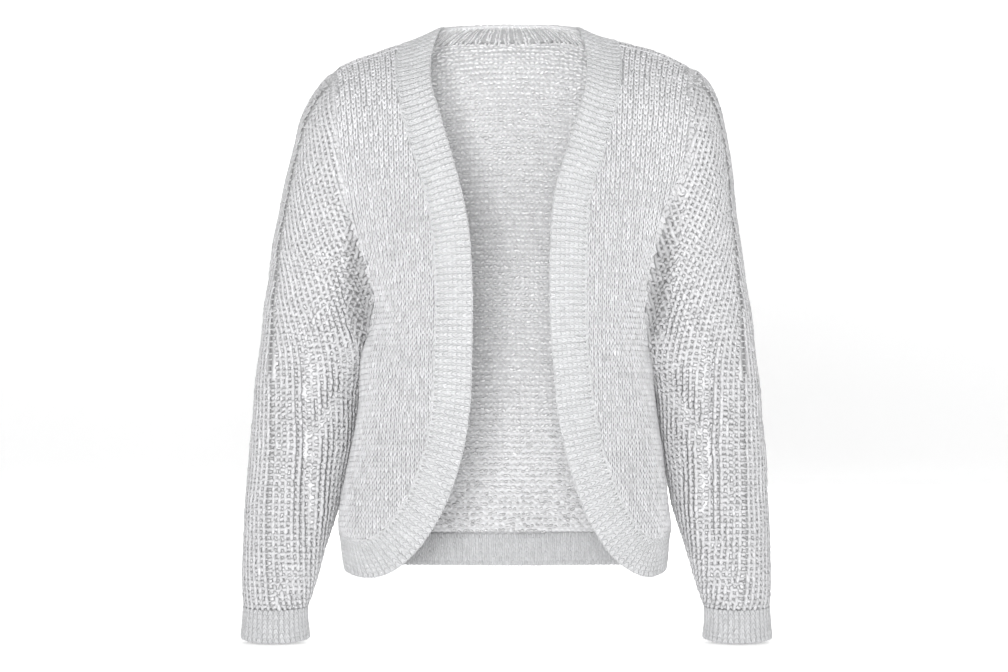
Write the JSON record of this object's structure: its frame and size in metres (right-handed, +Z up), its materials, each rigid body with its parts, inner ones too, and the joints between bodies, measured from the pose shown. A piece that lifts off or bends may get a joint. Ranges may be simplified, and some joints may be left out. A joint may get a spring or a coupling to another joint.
{
  "type": "knitted open-front cardigan",
  "caption": "Cropped open-front knitted cardigan with long sleeves and ribbed front bands, neck, cuffs and back hem, hollow and filled out as when worn.",
  "frame": {"origin": "middle of the neck opening, on the line of the two neck points of the shoulders, where the wearer's neck and shoulders hold it up", "axes": "+Z up, the front faces -Y, +X towards the wearer's left"},
  "size_m": [0.5472, 0.2234, 0.6382],
  "materials": {
    "back_knit": "soft heather wool-blend knit",
    "right_front_knit": "soft heather wool-blend knit",
    "left_front_knit": "soft heather wool-blend knit",
    "right_band_rib": "soft heather wool-blend knit",
    "left_band_rib": "soft heather wool-blend knit",
    "right_sleeve_knit": "soft heather wool-blend knit",
    "left_sleeve_knit": "soft heather wool-blend knit",
    "right_cuff_rib": "soft heather wool-blend knit",
    "left_cuff_rib": "soft heather wool-blend knit",
    "neck_rib": "soft heather wool-blend knit",
    "hem_rib": "soft heather wool-blend knit"
  },
  "bodies": {
    "root": {"back_panel": "back_knit", "right_front_panel": "right_front_knit", "left_front_panel": "left_front_knit", "right_front_band": "right_band_rib", "left_front_band": "left_band_rib", "right_sleeve": "right_sleeve_knit", "left_sleeve": "left_sleeve_knit", "right_cuff": "right_cuff_rib", "left_cuff": "left_cuff_rib", "back_neck_band": "neck_rib", "back_hem_rib": "hem_rib"}
  },
  "joints": []
}
